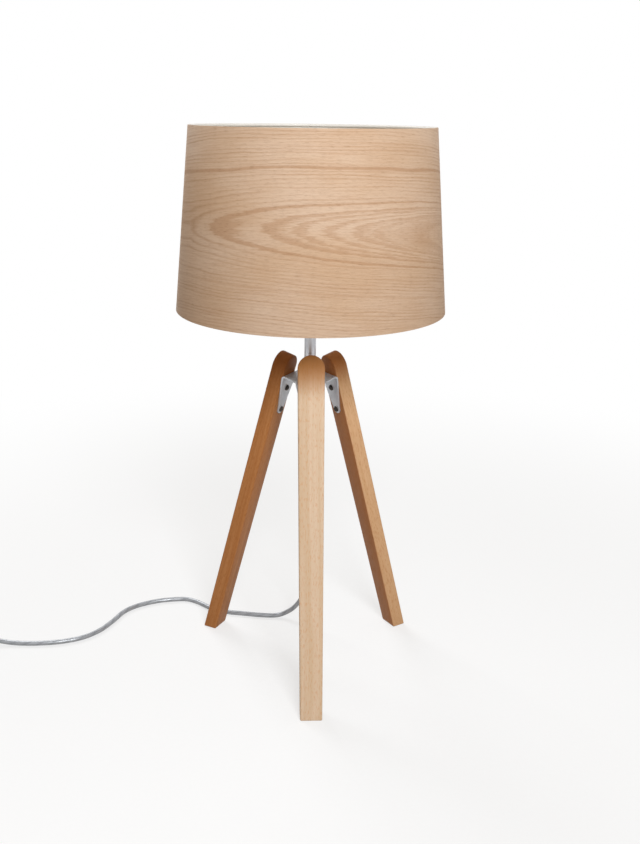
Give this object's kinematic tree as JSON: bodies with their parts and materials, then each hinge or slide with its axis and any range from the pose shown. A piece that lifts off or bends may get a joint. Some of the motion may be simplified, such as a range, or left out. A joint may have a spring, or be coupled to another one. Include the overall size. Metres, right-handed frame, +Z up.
{
  "type": "tripod table lamp",
  "caption": "Table lamp on flat wooden legs joined by a bent metal hub, with a tapered wood-veneer drum shade, lampholder, bulb, inline switch and mains cord.",
  "frame": {"origin": "on the floor, under the middle of the hub, the centre of the lamp's footprint without its cord", "axes": "+Z up; -Y towards the front leg; +X to the right as seen from the front"},
  "size_m": [0.6761, 0.3, 0.6361],
  "materials": {
    "leg_wood": "satin lacquered solid wood, straight grain along the leg",
    "shade_wood": "matt wood veneer with the grain running round the shade",
    "white_lining": "matt white lining",
    "satin_nickel": "satin nickel plate",
    "zinc_steel": "bright zinc plate",
    "dark_screw": "black-brown oxide",
    "black_plastic": "fine-textured black",
    "rocker_plastic": "polished black",
    "insulator_ceramic": "unglazed",
    "contact_brass": "plain",
    "core_insulation": "extruded",
    "cord_sheath": "clear sheath over silver-grey twisted cores",
    "opal_glass": "opal white, satin",
    "bulb_metal": "plain",
    "bulb_insulator_black": "black glass",
    "emitter_phosphor": "plain",
    "white_wire": "white powder coat"
  },
  "bodies": {
    "stand": {"leg_front": "leg_wood", "leg_left": "leg_wood", "leg_right": "leg_wood", "hub_bracket": "satin_nickel", "leg_screws": "dark_screw", "threaded_tube": "zinc_steel", "stem_sleeve": "satin_nickel", "hub_washer": "zinc_steel", "hub_locknut": "zinc_steel", "cord_grip": "black_plastic", "grip_screw": "zinc_steel", "cord_relief": "black_plastic", "stem_cable": "cord_sheath", "holder_cap": "black_plastic", "holder_body": "black_plastic", "holder_insert": "insulator_ceramic", "thread_shell": "contact_brass", "centre_contact": "contact_brass", "terminal_screws": "contact_brass", "mains_cores": "core_insulation", "cord_run": "cord_sheath", "cord_lead": "cord_sheath", "cord_coil": "cord_sheath", "cord_tail": "cord_sheath", "coil_tie": "black_plastic", "switch_base": "black_plastic", "switch_cover": "black_plastic", "switch_contacts": "contact_brass", "switch_screws": "zinc_steel", "plug_body": "black_plastic", "plug_relief": "black_plastic", "plug_pins": "zinc_steel"},
    "shade": {"shade_veneer": "shade_wood", "shade_lining": "white_lining", "shade_top_ring": "white_wire", "shade_bottom_ring": "white_wire", "shade_spider": "white_wire"},
    "shade_ring": {"shade_ring": "black_plastic"},
    "bulb": {"bulb_glass": "opal_glass", "bulb_cap": "bulb_metal", "bulb_insulator": "bulb_insulator_black", "bulb_contact": "bulb_metal", "bulb_emitter": "emitter_phosphor"},
    "rocker": {"switch_rocker": "rocker_plastic"}
  },
  "joints": [
    {"name": "shade_turn", "type": "hinge", "parent": "stand", "child": "shade", "pos_m": [0, 0, 0.478], "axis": [0, 0, 1], "continuous": true},
    {"name": "ring_unscrew", "type": "hinge", "parent": "stand", "child": "shade_ring", "pos_m": [0, 0, 0.48], "axis": [0, 0, 1], "range_deg": [0, 1080]},
    {"name": "bulb_lift", "type": "slide", "parent": "stand", "child": "bulb", "axis": [0, 0, 1], "range_m": [0, 0.1]},
    {"name": "rocker_tilt", "type": "hinge", "parent": "stand", "child": "rocker", "pos_m": [-0.46, 0.022, 0.017], "axis": [0, 1, 0], "range_deg": [0, 20]}
  ]
}
